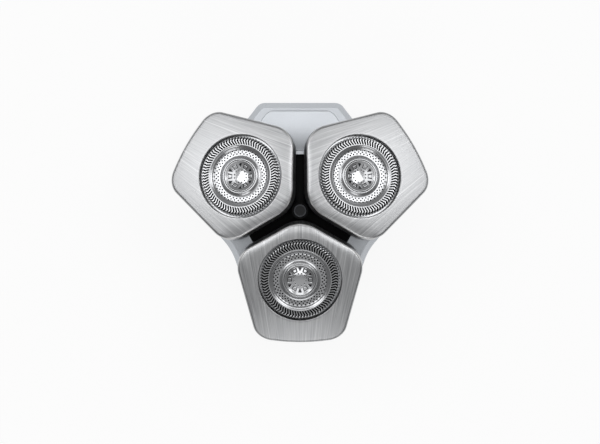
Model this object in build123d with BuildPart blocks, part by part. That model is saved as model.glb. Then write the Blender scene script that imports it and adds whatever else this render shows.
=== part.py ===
"""Three-head rotary shaver head: tilting heads on a lift-off frame over a geared base.

The foot of the collar stands on z = 0, the middle axis is Z, and the tab points to +Y.
"""
import os
from math import cos, hypot, pi, radians, sin, tan

from build123d import *

# Driving dimensions, in millimetres and degrees

# Layout of the heads
head_angles = {"right": 30, "left": 150, "lower": 270}
head_radius = 19.5  # guard centre from the middle axis
head_tilt = 13.0  # outward lean of each head
head_to_gap = 60.0  # turn from a head to the gap beside it
tab_angle = 90.0  # direction of the tab
guard_top_z = 34.0  # guard centre above the foot
pivot_depth = 5.0  # tilt axis below the guard's track
seat_gap = 0.05  # between pieces that rest on each other
run_gap = 0.08  # radial clearance of a turning shaft

# Cover: five-sided outline, given from the guard's centre
cover_apex = 17.2
cover_shoulder_in = 6.4
cover_shoulder_half = 18.65
cover_outer = 18.15
cover_outer_half = 11.95
cover_outer_bulge = 0.4
apex_round = 9.0
shoulder_round = 7.0
outer_round = 6.0
cover_waist = 4.7  # depth of the widest outline
cover_depth = 8.2
cover_draft = 8.0
cover_wall = 1.2
crown_radius = 120.0
cover_lip_drop = 0.5  # lip of the guard hole below the track
cover_hole_radius = 11.65
cover_edge_round = 2.4
cover_lip_round = 0.3

# Guard: pressed sheet with a slotted track, a channel and a middle hole
guard_wall = 0.35
guard_radius = 11.15
guard_flange_radius = 12.0
guard_flange_drop = 3.0
guard_bevel_width = 0.45
guard_bevel_drop = 0.7
track_inner_radius = 8.6
lip_inner_radius = 8.1
lip_drop = 0.3
channel_drop = 1.15
channel_inner_radius = 4.95
guard_hole_radius = 4.55
slot_count = 80
slot_width = 0.42
slot_inner_radius = 8.9
slot_mid_radius = 10.1
slot_lead = 3.0  # degrees by which a slot's bend leads its inner end
slot_trail = 1.5  # degrees by which its outer end trails
slot_skirt_drop = 1.3

# Guard disc: dished, with a stem in the guard's middle hole
disc_radius = 4.5
disc_rim_rise = 0.1
disc_rim_width = 0.25
disc_dish_drop = 0.55
disc_thickness = 0.5

# Cutter and its hub
blade_count = 36
blade_width = 0.5
blade_rake = 25.0
blade_inner_radius = 9.0
blade_outer_radius = 10.7
cutter_gap = 0.15  # blade tips under the guard
cutter_plate_drop = 2.0
cutter_plate = 0.4
cutter_window_radius = 1.5
cutter_window_count = 6
hub_flange_radius = 5.0
hub_flange = 0.6
hub_radius = 3.4
hub_spigot_radius = 1.7
hub_socket_reach = 1.3  # socket mouth below the tilt axis
hub_socket_roof = 0.6
socket_inradius = 2.05

# Retaining ring and carrier
ring_outer_radius = 12.1
ring_inner_radius = 10.7
ring_depth = 2.1
ring_eye_outer = 5.4
ring_eye_inner = 4.3
ring_web = 0.9
spoke_width = 1.6
spoke_count = 6
catch_count = 3
catch_arc = 16.0
catch_slack = 2.0  # degrees a notch is wider than its catch, each side
catch_start = 60.0
catch_depth = 0.5
catch_reach = 1.0
catch_turn = 25.0  # turn that frees the ring
carrier_bore = 11.65
carrier_seat_bore = 12.25
carrier_radius = 12.9
pin_radius = 0.9
post_gap = 0.2
post_thickness = 0.9
post_width = 4.0
rib_width = 1.6
rib_depth = 3.0
rib_spread = 35.0  # outer ribs, either side of the outward direction

# Frame outline, seen from above
lobe_reach = 33.5
lobe_half = 11.2
lobe_round = 6.0
web_radius = 22.15
web_round = 15.0
tab_reach = 30.35
tab_half = 11.3
tab_base_inset = 8.0  # foot of the tab, in from a lobe's corner
tab_round = 3.0

# Frame and chassis
tilt_room = 2.4  # height left under the covers
rim_z = 17.0  # parting plane of frame and hair chamber
frame_wall = 1.2
frame_bevel = 1.5
bevel_share = 0.7  # most of the frame's lowest side that the bevel may take
frame_centre_radius = 15.9
frame_opening_radius = 15.0
deck_thickness = 1.6
chassis_wall = 1.4
chassis_lip = 2.5
head_opening_radius = 11.1
cup_wall = 1.2
cup_top_depth = 7.9  # cup under each head, below the guard's track
cap_boss_radius = 2.3
cap_boss_rise = 3.0
cap_radius = 1.75
cap_rise = 0.8
cap_bevel = 0.25
cap_pin_radius = 0.8
cap_pin_length = 1.5

# Hair chamber
chamber_wall = 1.5
chamber_floor = 1.2
bowl_margin = 1.1  # bowl's top outside the lobes
bowl_bulge = 1.0
bowl_top_z = 14.2
boss_radius = 4.2
boss_rise = 3.4
bearing_boss_radius = 3.2
bearing_roof = 0.8

# Gear train
sun_teeth = 30
planet_teeth = 16
pressure_angle = 20.0
backlash = 0.2
tooth_tip = 0.9  # tip height in modules
tooth_root = 1.25  # root depth in modules
gear_face = 2.6
gear_play = 0.35  # above and below the gears
gear_room = 0.6  # beside the gears

# Gear cover, collar, seal and screws
cover_plate = 1.6
collar_height = 6.0
collar_outer_radius = 16.5
collar_bore = 14.2
collar_round = 0.6
plate_round = 0.8
latch_count = 3
latch_width = 6.0
latch_height = 2.4
latch_depth = 1.3  # catch pockets, cut from inside the collar
latch_z = 2.0
seal_width = 1.2
seal_depth = 0.5
screw_radius_from_axis = 18.6
screw_boss_radius = 2.2
screw_head_radius = 1.6
screw_head_depth = 0.9
screw_shank_radius = 0.8
screw_length = 3.6
screw_slot = 0.4
screw_slot_depth = 0.45

# Drive gear hub
sun_hub_radius = 4.5
drive_bore = 2.5
drive_depth = 3.6
key_count = 3
key_width = 1.0
key_depth = 0.8
sun_journal_radius = 1.5
sun_journal_length = 2.0

# Spindle, its gear hub and spring
planet_hub_radius = 2.6
planet_hub_rise = 5.4  # hub above the gear
planet_journal_radius = 1.2
planet_journal_length = 1.3
hub_bore_floor = 1.1  # bore floor above the gear's underside
spindle_inradius = 1.5
spindle_slip = 0.1
spindle_tip_radius = 1.7
spindle_tip_inradius = 1.45
spindle_neck_radius = 1.05
spindle_neck_length = 3.4
shield_radius = 3.2
shield_thickness = 0.8
shield_rise = 3.2  # above the gear hub
spring_length = 3.2
spring_wire = 0.4
spring_radius = 1.15
spring_turns = 3.5

# Derived dimensions

lean = radians(head_tilt)
spindle_radius = head_radius - pivot_depth * sin(lean)
pivot_z = guard_top_z - pivot_depth * cos(lean)
gear_module = 2 * spindle_radius / (sun_teeth + planet_teeth)
skirt_z = guard_top_z - cover_depth / cos(lean) + head_radius * tan(lean)
dome_z = skirt_z - tilt_room  # point of the frame's cone
frame_side = dome_z - hypot(lobe_reach, lobe_half) * tan(lean) - rim_z  # lowest side of the frame
plate_top_z = collar_height + cover_plate
gear_z = plate_top_z + gear_play
floor_z = gear_z + gear_face + gear_play
chamber_z = floor_z + chamber_floor
planet_tip_radius = gear_module * (planet_teeth / 2 + tooth_tip)
room_radius = spindle_radius + planet_tip_radius + gear_room
bowl_foot_radius = room_radius + chamber_wall
bowl_top_radius = lobe_reach + bowl_margin
crown_z = cover_hole_radius**2 / (2 * crown_radius) - cover_lip_drop
hub_top_z = gear_z + gear_face + planet_hub_rise
spindle_foot_z = gear_z + hub_bore_floor + spring_length
ring_top = -(guard_flange_drop + guard_wall + 2 * seat_gap)
ring_bottom = ring_top - ring_depth
carrier_bottom = ring_bottom - 2 * seat_gap - catch_depth
plate_bottom = -(cutter_plate_drop + cutter_plate)
pin_tip = carrier_radius + post_gap + post_thickness
screw_angles = [angle + head_to_gap for angle in head_angles.values()]


def along(angle, reach, side=0):
    """Point seen from above, given along and across the direction of an angle."""
    turn = radians(angle)
    return (reach * cos(turn) - side * sin(turn), reach * sin(turn) + side * cos(turn))


def head_place(angle):
    """Frame of a head: x runs out and down the slope, z leaves the shaving face."""
    out = Vector(*along(angle, 1))
    x_dir = out * cos(lean) - Vector(0, 0, sin(lean))
    z_dir = out * sin(lean) + Vector(0, 0, cos(lean))
    return Plane(origin=out * head_radius + Vector(0, 0, guard_top_z), x_dir=x_dir, z_dir=z_dir)


def spindle_place(angle):
    """Upright frame on a spindle's axis, x pointing away from the middle."""
    return Plane(origin=along(angle, spindle_radius), x_dir=along(angle, 1), z_dir=(0, 0, 1))


def frame_outline(inset, z):
    """Outline of the frame and hair chamber seen from above, drawn in by an inset."""
    lobes = {
        side: [along(angle, lobe_reach, -lobe_half), along(angle, lobe_reach, lobe_half)]
        for side, angle in head_angles.items()
    }
    webs = [along(head_angles["lower"] + turn, web_radius) for turn in (-head_to_gap, head_to_gap)]
    shoulder = lobes["right"][1]
    tab_base_half = shoulder[0] - tab_base_inset
    tab_base_y = web_radius + (shoulder[1] - web_radius) * tab_base_half / shoulder[0]
    tab = [
        (tab_base_half, tab_base_y),
        (tab_half, tab_reach),
        (-tab_half, tab_reach),
        (-tab_base_half, tab_base_y),
    ]
    rounds = [
        (lobes["right"] + lobes["left"] + lobes["lower"], lobe_round),
        (webs, web_round),
        (tab, tab_round),
    ]
    with BuildSketch(Plane.XY.offset(z)) as outline:
        with BuildLine():
            Polyline(*lobes["right"], *tab, *lobes["left"], webs[0], *lobes["lower"], webs[1], close=True)
        make_face()
        for points, radius in rounds:
            fillet([outline.vertices().sort_by_distance(point)[0] for point in points], radius)
        if inset:
            offset(amount=-inset, mode=Mode.REPLACE)
    return outline.sketch


def cone_below(top_z):
    """Everything under a cone that slopes like the heads, with its point at a height."""
    reach = 2 * lobe_reach
    with BuildPart() as below:
        with BuildSketch(Plane.XZ):
            with BuildLine():
                Polyline((0, 0), (reach, 0), (reach, top_z - reach * tan(lean)), (0, top_z), close=True)
            make_face()
        revolve(axis=Axis.Z)
    return below.part


def frame_shape(inset, foot_z, point_z):
    """Solid frame shape from a foot up to the cone with its point at a height."""
    with BuildPart() as shape:
        extrude(frame_outline(inset, foot_z), amount=dome_z)
        add(cone_below(point_z), mode=Mode.INTERSECT)
    return shape.part


def bowl_inside(inset):
    """Turned shape that rounds the chamber in towards its foot, drawn in by an inset."""
    foot = (bowl_foot_radius - inset, plate_top_z)
    top = (bowl_top_radius - inset, bowl_top_z)
    chord = hypot(top[0] - foot[0], top[1] - foot[1])
    middle = (
        (foot[0] + top[0]) / 2 + bowl_bulge * (top[1] - foot[1]) / chord,
        (foot[1] + top[1]) / 2 - bowl_bulge * (top[0] - foot[0]) / chord,
    )
    with BuildPart() as bowl:
        with BuildSketch(Plane.XZ):
            with BuildLine():
                Polyline((0, plate_top_z), foot)
                ThreePointArc(foot, middle, top)
                Polyline(top, (top[0], guard_top_z), (0, guard_top_z), (0, plate_top_z))
            make_face()
        revolve(axis=Axis.Z)
    return bowl.part


def chamber_shape(inset, foot_z):
    """Solid chamber shape from a foot up past its rim, drawn in by an inset."""
    with BuildPart() as shape:
        extrude(frame_outline(inset, foot_z), amount=rim_z)
        add(bowl_inside(inset), mode=Mode.INTERSECT)
    return shape.part


def gear_outline(teeth, first_tooth, z):
    """Straight-flanked spur gear with its first tooth at an angle."""
    pitch_radius = gear_module * teeth / 2
    tip = pitch_radius + gear_module * tooth_tip
    root = pitch_radius - gear_module * tooth_root
    half = (pi * gear_module / 2 - backlash) / 2
    flank = tan(radians(pressure_angle))
    foot = root - gear_module / 2
    tooth = [
        (foot, -half - (pitch_radius - foot) * flank),
        (tip, -half + (tip - pitch_radius) * flank),
        (tip, half - (tip - pitch_radius) * flank),
        (foot, half + (pitch_radius - foot) * flank),
    ]
    with BuildSketch(Plane.XY.offset(z)) as gear:
        Circle(root)
        with PolarLocations(0, teeth, start_angle=first_tooth):
            Polygon(*tooth, align=None)
    return gear.sketch


def cover_shape(inset, depth):
    """Solid five-sided head shape under a domed crown, drawn in by an inset."""
    with BuildSketch(Plane.XY.offset(-cover_waist)) as outline:
        with BuildLine():
            Polyline(
                (cover_outer, cover_outer_half),
                (-cover_shoulder_in, cover_shoulder_half),
                (-cover_apex, 0),
                (-cover_shoulder_in, -cover_shoulder_half),
                (cover_outer, -cover_outer_half),
            )
            ThreePointArc(
                (cover_outer, -cover_outer_half),
                (cover_outer + cover_outer_bulge, 0),
                (cover_outer, cover_outer_half),
            )
        make_face()
        fillet(outline.vertices().group_by(Axis.X)[-1], outer_round)
        across = outline.vertices().group_by(Axis.Y)
        fillet(across[0] + across[-1], shoulder_round)
        fillet(outline.vertices().sort_by(Axis.X)[0], apex_round)
        if inset:
            offset(amount=-inset, mode=Mode.REPLACE)
    with BuildPart() as shape:
        extrude(outline.sketch, amount=cover_waist + crown_z)
        with Locations((0, 0, crown_z - crown_radius)):
            Sphere(crown_radius - inset, rotation=(90, 0, 0), mode=Mode.INTERSECT)
        fillet(shape.faces().sort_by(Axis.Z)[-1].edges(), cover_edge_round - inset)
        extrude(outline.sketch, amount=cover_waist - depth, taper=cover_draft)
    return shape.part


def ball_tip():
    """Six-sided ball on top of a spindle, round the point where the head tilts."""
    with BuildPart() as tip:
        with BuildSketch(Plane.XY.offset(pivot_z - spindle_tip_radius)):
            RegularPolygon(spindle_tip_inradius, 6, major_radius=False)
        extrude(amount=2 * spindle_tip_radius)
        with Locations((0, 0, pivot_z)):
            Sphere(spindle_tip_radius, mode=Mode.INTERSECT)
    return tip.part


# Cover
with BuildPart() as cover:
    add(cover_shape(0, cover_depth))
    add(cover_shape(cover_wall, cover_depth), mode=Mode.SUBTRACT)
    Cylinder(cover_hole_radius, 2 * cover_waist, mode=Mode.SUBTRACT)
    crown = cover.faces().filter_by(GeomType.SPHERE).sort_by(Axis.Z)[-1]
    fillet(crown.inner_wires()[0].edges(), cover_lip_round)

# Guard
with BuildPart() as guard:
    channel_mid = (lip_inner_radius + channel_inner_radius) / 2
    skirt_inside = guard_radius - guard_wall
    with BuildSketch(Plane.XZ):
        with BuildLine():
            Polyline(
                (channel_inner_radius, -lip_drop),
                (guard_hole_radius, -lip_drop),
                (guard_hole_radius, -lip_drop - guard_wall),
                (channel_inner_radius - guard_wall / 2, -lip_drop - guard_wall),
            )
            ThreePointArc(
                (channel_inner_radius - guard_wall / 2, -lip_drop - guard_wall),
                (channel_mid, -channel_drop - guard_wall),
                (lip_inner_radius + guard_wall / 2, -lip_drop - guard_wall),
            )
            Polyline(
                (lip_inner_radius + guard_wall / 2, -lip_drop - guard_wall),
                (track_inner_radius - lip_drop / 2, -lip_drop - guard_wall),
                (track_inner_radius + lip_drop / 2, -guard_wall),
                (guard_radius - guard_bevel_width - guard_wall / 2, -guard_wall),
                (skirt_inside, -guard_bevel_drop - guard_wall / 2),
                (skirt_inside, -guard_flange_drop - guard_wall),
                (guard_flange_radius, -guard_flange_drop - guard_wall),
                (guard_flange_radius, -guard_flange_drop),
                (guard_radius, -guard_flange_drop),
                (guard_radius, -guard_bevel_drop),
                (guard_radius - guard_bevel_width, 0),
                (track_inner_radius, 0),
                (track_inner_radius - lip_drop, -lip_drop),
                (lip_inner_radius, -lip_drop),
            )
            ThreePointArc(
                (lip_inner_radius, -lip_drop),
                (channel_mid, -channel_drop),
                (channel_inner_radius, -lip_drop),
            )
        make_face()
    revolve(axis=Axis.Z)
    slot_outer_radius = guard_radius + guard_wall
    slot_ends = [(slot_inner_radius, 0), (slot_mid_radius, slot_lead), (slot_outer_radius, -slot_trail)]
    slot = [along(turn, reach, -slot_width / 2) for reach, turn in slot_ends]
    slot += [along(turn, reach, slot_width / 2) for reach, turn in reversed(slot_ends)]
    with BuildSketch(Plane.XY.offset(-slot_skirt_drop)):
        with PolarLocations(0, slot_count):
            Polygon(*slot, align=None)
    extrude(amount=2 * slot_skirt_drop, mode=Mode.SUBTRACT)

# Guard disc
with BuildPart() as guard_disc:
    disc_top = -lip_drop + disc_rim_rise
    disc_inside = disc_radius - disc_rim_width
    with BuildSketch(Plane.XZ):
        with BuildLine():
            ThreePointArc(
                (-disc_inside, disc_top), (0, disc_top - disc_dish_drop), (disc_inside, disc_top)
            )
            Polyline(
                (disc_inside, disc_top),
                (disc_radius, disc_top - disc_rim_width),
                (disc_radius, disc_top - disc_dish_drop - disc_thickness),
                (-disc_radius, disc_top - disc_dish_drop - disc_thickness),
                (-disc_radius, disc_top - disc_rim_width),
                (-disc_inside, disc_top),
            )
        make_face()
        split(bisect_by=Plane.YZ, keep=Keep.TOP)
    revolve(axis=Axis.Z)

# Cutter
with BuildPart() as cutter:
    with BuildSketch(Plane.XY.offset(plate_bottom)):
        Circle(blade_outer_radius)
        Circle(hub_spigot_radius + run_gap, mode=Mode.SUBTRACT)
        with PolarLocations((hub_flange_radius + blade_inner_radius) / 2, cutter_window_count):
            Circle(cutter_window_radius, mode=Mode.SUBTRACT)
    extrude(amount=cutter_plate)
    blade_middle = (blade_inner_radius + blade_outer_radius) / 2
    blade_length = (blade_outer_radius - blade_inner_radius) * cos(radians(blade_rake))
    with BuildSketch(Plane.XY.offset(plate_bottom)):
        with PolarLocations(blade_middle, blade_count):
            Rectangle(blade_length, blade_width, rotation=blade_rake)
    extrude(amount=-plate_bottom - guard_wall - cutter_gap)

# Cutter hub
with BuildPart() as cutter_hub:
    flange_top = plate_bottom - seat_gap
    mouth = -pivot_depth - hub_socket_reach
    with BuildSketch(Plane.XY.offset(flange_top)):
        Circle(hub_flange_radius)
    extrude(amount=-hub_flange)
    with BuildSketch(Plane.XY.offset(mouth)):
        Circle(hub_radius)
    extrude(amount=flange_top - mouth)
    with BuildSketch(Plane.XY.offset(flange_top)):
        Circle(hub_spigot_radius)
    extrude(amount=cutter_plate + 2 * seat_gap)
    with BuildSketch(Plane.XY.offset(mouth)):
        RegularPolygon(socket_inradius, 6, major_radius=False)
    extrude(amount=flange_top - hub_socket_roof - mouth, mode=Mode.SUBTRACT)

# Retaining ring
with BuildPart() as retaining_ring:
    with BuildSketch(Plane.XY.offset(ring_bottom)):
        Circle(ring_outer_radius)
        Circle(ring_inner_radius, mode=Mode.SUBTRACT)
        with PolarLocations(ring_outer_radius, catch_count, start_angle=catch_start - catch_turn):
            notch_width = 2 * ring_outer_radius * sin(radians(catch_arc / 2 + catch_slack))
            Rectangle(2 * catch_reach + 2 * seat_gap, notch_width, mode=Mode.SUBTRACT)
    extrude(amount=ring_depth)
    with BuildSketch(Plane.XY.offset(ring_bottom)):
        Circle(ring_eye_outer)
        with PolarLocations((ring_eye_outer + ring_inner_radius) / 2, spoke_count):
            Rectangle(ring_inner_radius - ring_eye_inner, spoke_width)
        Circle(ring_eye_inner, mode=Mode.SUBTRACT)
    extrude(amount=ring_web)

# Carrier
with BuildPart() as carrier:
    with BuildSketch(Plane.XY.offset(carrier_bottom)):
        Circle(carrier_radius)
    extrude(amount=-carrier_bottom)
    pin_plane = Plane(origin=(0, 0, -pivot_depth), x_dir=(1, 0, 0), z_dir=(0, 1, 0))
    with BuildSketch(pin_plane):
        Circle(pin_radius)
    extrude(amount=pin_tip, both=True)
    rib_length = hypot(cover_outer, cover_outer_half)
    rib_top = Plane.XY.offset(-rib_depth - cover_lip_drop)
    with BuildSketch(rib_top):
        with Locations((-cover_apex / 2, 0)):
            Rectangle(cover_apex, rib_width)
        for spread in (-rib_spread, rib_spread):
            with Locations(along(spread, rib_length / 2)):
                Rectangle(rib_length, rib_width, rotation=spread)
    extrude(amount=rib_depth)
    add(cover_shape(cover_wall + seat_gap, cover_depth), mode=Mode.INTERSECT)
    with BuildSketch(Plane.XY.offset(-guard_flange_drop + seat_gap)):
        Circle(carrier_seat_bore)
    extrude(amount=-cover_depth, mode=Mode.SUBTRACT)
    Cylinder(carrier_bore, 2 * cover_depth, mode=Mode.SUBTRACT)
    with BuildSketch(Plane.XY.offset(carrier_bottom)):
        with PolarLocations(carrier_seat_bore, catch_count, start_angle=catch_start):
            catch_width = 2 * carrier_seat_bore * sin(radians(catch_arc / 2))
            Rectangle(2 * catch_reach, catch_width)
        Circle((carrier_seat_bore + carrier_radius) / 2, mode=Mode.INTERSECT)
    extrude(amount=catch_depth)

# Trim frame
with BuildPart() as trim_frame:
    add(frame_shape(0, rim_z, dome_z))
    rim_edges = trim_frame.faces().filter_by(GeomType.CONE).sort_by(SortBy.AREA)[-1].edges()
    chamfer(rim_edges, min(frame_bevel, bevel_share * frame_side))
    add(frame_shape(frame_wall, rim_z, dome_z - frame_wall), mode=Mode.SUBTRACT)
    with BuildSketch(Plane.XY.offset(rim_z)):
        Circle(frame_centre_radius)
        with Locations(*[along(angle, spindle_radius) for angle in head_angles.values()]):
            Circle(frame_opening_radius)
    extrude(amount=dome_z, mode=Mode.SUBTRACT)

# Chassis
chassis_inset = chamber_wall + 3 * seat_gap
chassis_top_z = dome_z - frame_wall - seat_gap
post_reach = hypot(spindle_radius, carrier_radius)
post_height = pivot_z - chassis_top_z + post_reach * tan(lean) + deck_thickness
cup_foot_depth = (guard_top_z - chassis_top_z + head_radius * tan(lean)) * cos(lean) + deck_thickness
with BuildPart() as chassis:
    add(frame_shape(chassis_inset, rim_z - chassis_lip, chassis_top_z))
    add(
        frame_shape(chassis_inset + chassis_wall, rim_z - chassis_lip, chassis_top_z - deck_thickness),
        mode=Mode.SUBTRACT,
    )
    for head_angle in head_angles.values():
        head = head_place(head_angle)
        with BuildSketch(head.offset(-cup_top_depth)):
            Circle(head_opening_radius + cup_wall)
        extrude(amount=cup_top_depth - cup_foot_depth)
        for side in (-1, 1):
            inner = side * (carrier_radius + post_gap)
            pivot = head.from_local_coords((0, inner, -pivot_depth))
            with BuildSketch(Plane(origin=pivot, x_dir=head.z_dir, z_dir=head.y_dir * side)):
                Circle(post_width / 2)
                with Locations((-post_height / 2, 0)):
                    Rectangle(post_height, post_width)
                Circle(pin_radius + run_gap, mode=Mode.SUBTRACT)
            extrude(amount=post_thickness)
        with BuildSketch(head):
            Circle(head_opening_radius)
        extrude(amount=-guard_top_z, mode=Mode.SUBTRACT)
    with BuildSketch(Plane.XY.offset(chassis_top_z - deck_thickness)):
        Circle(cap_boss_radius)
    extrude(amount=deck_thickness + cap_boss_rise)
    with BuildSketch(Plane.XY.offset(chassis_top_z + cap_boss_rise)):
        Circle(cap_pin_radius + seat_gap)
    extrude(amount=-cap_pin_length - seat_gap, mode=Mode.SUBTRACT)

# Centre cap
with BuildPart() as centre_cap:
    cap_z = chassis_top_z + cap_boss_rise
    with BuildSketch(Plane.XY.offset(cap_z)):
        Circle(cap_radius)
    extrude(amount=cap_rise)
    chamfer(centre_cap.edges().group_by(Axis.Z)[-1], cap_bevel)
    with BuildSketch(Plane.XY.offset(cap_z)):
        Circle(cap_pin_radius)
    extrude(amount=-cap_pin_length)

# Hair chamber
with BuildPart() as hair_chamber:
    add(chamber_shape(0, plate_top_z))
    split(bisect_by=Plane.XY.offset(rim_z), keep=Keep.BOTTOM)
    add(chamber_shape(chamber_wall, chamber_z), mode=Mode.SUBTRACT)
    with BuildSketch(Plane.XY.offset(plate_top_z)):
        add(frame_outline(chamber_wall, 0))
        Circle(room_radius, mode=Mode.INTERSECT)
    extrude(amount=floor_z - plate_top_z, mode=Mode.SUBTRACT)
    with BuildSketch(Plane.XY.offset(floor_z)):
        with Locations(*[along(angle, spindle_radius) for angle in head_angles.values()]):
            Circle(boss_radius)
    extrude(amount=chamber_floor + boss_rise)
    with BuildSketch(Plane.XY.offset(floor_z)):
        Circle(bearing_boss_radius)
    extrude(amount=sun_journal_length + bearing_roof)
    with BuildSketch(Plane.XY.offset(plate_top_z)):
        with Locations(*[along(angle, screw_radius_from_axis) for angle in screw_angles]):
            Circle(screw_boss_radius)
    extrude(amount=floor_z - plate_top_z)
    with BuildSketch(Plane.XY.offset(floor_z)):
        with Locations(*[along(angle, spindle_radius) for angle in head_angles.values()]):
            Circle(planet_hub_radius + run_gap)
    extrude(amount=chamber_floor + boss_rise, mode=Mode.SUBTRACT)
    with BuildSketch(Plane.XY.offset(floor_z)):
        Circle(sun_journal_radius + run_gap)
    extrude(amount=sun_journal_length, mode=Mode.SUBTRACT)
    with BuildSketch(Plane.XY.offset(plate_top_z)):
        with Locations(*[along(angle, screw_radius_from_axis) for angle in screw_angles]):
            Circle(screw_shank_radius + seat_gap)
    extrude(amount=screw_length, mode=Mode.SUBTRACT)

# Gear cover
with BuildPart() as gear_cover:
    extrude(frame_outline(0, collar_height), amount=cover_plate)
    Cylinder(bowl_foot_radius, 4 * collar_height, mode=Mode.INTERSECT)
    chamfer(gear_cover.faces().sort_by(Axis.Z)[0].edges(), plate_round)
    with BuildSketch():
        Circle(collar_outer_radius)
    extrude(amount=collar_height)
    with BuildSketch():
        Circle(collar_bore)
    extrude(amount=collar_height, mode=Mode.SUBTRACT)
    chamfer(gear_cover.faces().sort_by(Axis.Z)[0].outer_wire().edges(), collar_round)
    with BuildSketch(Plane.XY.offset(latch_z)):
        with PolarLocations(collar_bore, latch_count, start_angle=tab_angle):
            Rectangle(2 * latch_depth, latch_width)
    extrude(amount=latch_height, mode=Mode.SUBTRACT)
    with BuildSketch(Plane.XY.offset(collar_height)):
        Circle(sun_hub_radius + run_gap)
    extrude(amount=cover_plate, mode=Mode.SUBTRACT)
    with BuildSketch(Plane.XY.offset(plate_top_z)):
        Circle(sun_hub_radius + run_gap + seal_width + seat_gap)
    extrude(amount=-seal_depth - seat_gap, mode=Mode.SUBTRACT)
    with BuildSketch(Plane.XY.offset(plate_top_z)):
        with Locations(*[along(angle, spindle_radius) for angle in head_angles.values()]):
            Circle(planet_journal_radius + run_gap)
    extrude(amount=gear_play - planet_journal_length - seat_gap, mode=Mode.SUBTRACT)
    with BuildSketch(Plane.XY.offset(collar_height)):
        with Locations(*[along(angle, screw_radius_from_axis) for angle in screw_angles]):
            Circle(screw_shank_radius + seat_gap)
    extrude(amount=cover_plate, mode=Mode.SUBTRACT)
    with BuildSketch(Plane.XY.offset(collar_height)):
        with Locations(*[along(angle, screw_radius_from_axis) for angle in screw_angles]):
            Circle(screw_head_radius + 2 * seat_gap)
    extrude(amount=screw_head_depth + seat_gap, mode=Mode.SUBTRACT)

# Shaft seal
with BuildPart() as shaft_seal:
    with BuildSketch(Plane.XY.offset(plate_top_z)):
        Circle(sun_hub_radius + run_gap + seal_width)
        Circle(sun_hub_radius + run_gap, mode=Mode.SUBTRACT)
    extrude(amount=-seal_depth)

# Cover screws
with BuildPart() as cover_screws:
    with BuildSketch(Plane.XY.offset(collar_height)):
        with Locations(*[along(angle, screw_radius_from_axis) for angle in screw_angles]):
            Circle(screw_head_radius)
    extrude(amount=screw_head_depth)
    with BuildSketch(Plane.XY.offset(collar_height)):
        with Locations(*[along(angle, screw_radius_from_axis) for angle in screw_angles]):
            Circle(screw_shank_radius)
    extrude(amount=cover_plate + screw_length - seat_gap)
    with BuildSketch(Plane.XY.offset(collar_height)):
        with Locations(*[along(angle, screw_radius_from_axis) for angle in screw_angles]):
            Rectangle(2 * screw_head_radius, screw_slot)
            Rectangle(screw_slot, 2 * screw_head_radius)
    extrude(amount=screw_slot_depth, mode=Mode.SUBTRACT)

# Drive gear
with BuildPart() as drive_gear:
    extrude(gear_outline(sun_teeth, head_angles["right"], gear_z), amount=gear_face)
    with BuildSketch(Plane.XY.offset(collar_height)):
        Circle(sun_hub_radius)
    extrude(amount=gear_z - collar_height)
    with BuildSketch(Plane.XY.offset(gear_z + gear_face)):
        Circle(sun_journal_radius)
    extrude(amount=gear_play + sun_journal_length - 2 * seat_gap)
    with BuildSketch(Plane.XY.offset(collar_height)):
        Circle(drive_bore)
        with PolarLocations(drive_bore, key_count):
            Rectangle(2 * key_depth, key_width)
    extrude(amount=drive_depth, mode=Mode.SUBTRACT)

# Spindle gear
with BuildPart() as spindle_gear:
    extrude(gear_outline(planet_teeth, 180 + 180 / planet_teeth, gear_z), amount=gear_face)
    with BuildSketch(Plane.XY.offset(gear_z)):
        Circle(planet_hub_radius)
    extrude(amount=gear_face + planet_hub_rise)
    with BuildSketch(Plane.XY.offset(gear_z)):
        Circle(planet_journal_radius)
    extrude(amount=-planet_journal_length)
    with BuildSketch(Plane.XY.offset(hub_top_z)):
        RegularPolygon(spindle_inradius + spindle_slip, 6, major_radius=False)
    extrude(amount=gear_z + hub_bore_floor - hub_top_z, mode=Mode.SUBTRACT)

# Drive spindle
with BuildPart() as drive_spindle:
    neck_z = pivot_z - spindle_neck_length
    with BuildSketch(Plane.XY.offset(spindle_foot_z)):
        RegularPolygon(spindle_inradius, 6, major_radius=False)
    extrude(amount=neck_z - spindle_foot_z)
    with BuildSketch(Plane.XY.offset(hub_top_z + shield_rise)):
        Circle(shield_radius)
    extrude(amount=shield_thickness)
    with BuildSketch(Plane.XY.offset(neck_z)):
        Circle(spindle_neck_radius)
    extrude(amount=spindle_neck_length)
    add(ball_tip())

# Spindle spring
with BuildPart() as spindle_spring:
    coil_rise = spring_length - spring_wire - 2 * seat_gap
    coil_foot = gear_z + hub_bore_floor + seat_gap + spring_wire / 2
    with BuildLine() as coil:
        Helix(coil_rise / spring_turns, coil_rise, spring_radius, center=(0, 0, coil_foot))
    with BuildSketch(Plane(origin=coil.line @ 0, x_dir=(1, 0, 0), z_dir=coil.line % 0)):
        Rectangle(spring_wire, spring_wire)
    sweep(is_frenet=True)

# Files: one per piece, the repeated pieces once per head
os.makedirs("parts", exist_ok=True)
single = {
    "trim_frame": trim_frame,
    "chassis": chassis,
    "centre_cap": centre_cap,
    "hair_chamber": hair_chamber,
    "gear_cover": gear_cover,
    "shaft_seal": shaft_seal,
    "cover_screws": cover_screws,
    "drive_gear": drive_gear,
}
on_head = {
    "cover": cover,
    "guard": guard,
    "guard_disc": guard_disc,
    "cutter": cutter,
    "cutter_hub": cutter_hub,
    "retaining_ring": retaining_ring,
    "carrier": carrier,
}
on_spindle = {
    "spindle_gear": spindle_gear,
    "drive_spindle": drive_spindle,
    "spindle_spring": spindle_spring,
}
pieces = {name: piece.part for name, piece in single.items()}
for side, angle in head_angles.items():
    for name, piece in on_head.items():
        pieces[f"{name}_{side}"] = piece.part.moved(head_place(angle).location)
    for name, piece in on_spindle.items():
        pieces[f"{name}_{side}"] = piece.part.moved(spindle_place(angle).location)
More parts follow.
